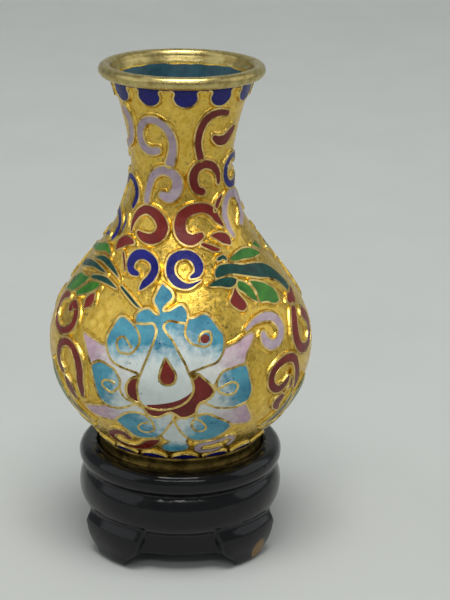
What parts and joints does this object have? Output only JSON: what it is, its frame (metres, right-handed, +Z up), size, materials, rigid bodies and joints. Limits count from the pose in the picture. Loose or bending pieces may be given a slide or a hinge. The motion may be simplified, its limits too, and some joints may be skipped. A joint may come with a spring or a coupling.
{
  "type": "cloisonne vase",
  "caption": "Miniature gilt copper vase with raised cloisonne lotus, leaf and scroll enamels, standing free in a black lacquered wooden stand on carved feet",
  "frame": {"origin": "centre of the stand's feet, on the surface they stand on", "axes": "+Z up along the vase's axis, the front lotus faces -Y, +X to its right"},
  "size_m": [0.038, 0.0388, 0.0715],
  "materials": {
    "black_lacquer": "glossy black lacquer over carved wood",
    "gilt_ground": "bright gilt copper, finely stippled",
    "gilt_ring": "satin antique gilt",
    "gilt_wire": "polished pale gilt wire",
    "teal_enamel": "glossy fired enamel",
    "cobalt_enamel": "glossy fired enamel with small pits",
    "lilac_enamel": "glossy fired enamel with small pits",
    "red_enamel": "glossy fired enamel with small pits",
    "dark_green_enamel": "glossy fired enamel with small pits",
    "green_enamel": "glossy fired enamel with small pits",
    "white_enamel": "glossy fired enamel fading to turquoise",
    "turquoise_enamel": "glossy fired enamel fading to white",
    "pink_enamel": "glossy fired enamel with small pits"
  },
  "bodies": {
    "stand": {"stand": "black_lacquer"},
    "vase": {"copper_belly": "gilt_ground", "copper_neck": "gilt_ground", "base_disc": "gilt_ground", "foot_ring": "gilt_ring", "rim_ring": "gilt_ring", "lining_enamel": "teal_enamel", "base_enamel": "teal_enamel", "rim_border_enamel": "cobalt_enamel", "neck_cobalt_enamel": "cobalt_enamel", "shoulder_cobalt_enamel": "cobalt_enamel", "foot_border_enamel": "cobalt_enamel", "neck_lilac_enamel": "lilac_enamel", "scroll_lilac_enamel": "lilac_enamel", "neck_red_enamel": "red_enamel", "shoulder_red_enamel": "red_enamel", "bud_red_enamel": "red_enamel", "lotus_red_enamel": "red_enamel", "scroll_red_enamel": "red_enamel", "leaf_dark_enamel": "dark_green_enamel", "leaf_green_enamel": "green_enamel", "lotus_white_enamel": "white_enamel", "lotus_turquoise_enamel": "turquoise_enamel", "lotus_pink_enamel": "pink_enamel", "rim_border_wires": "gilt_wire", "neck_wires": "gilt_wire", "shoulder_wires": "gilt_wire", "leaf_wires": "gilt_wire", "lotus_wires": "gilt_wire", "scroll_wires": "gilt_wire", "foot_border_wires": "gilt_wire"}
  },
  "joints": [
    {"name": "vase_lift", "type": "slide", "parent": "stand", "child": "vase", "axis": [0, 0, 1], "range_m": [0, 0.03]}
  ]
}
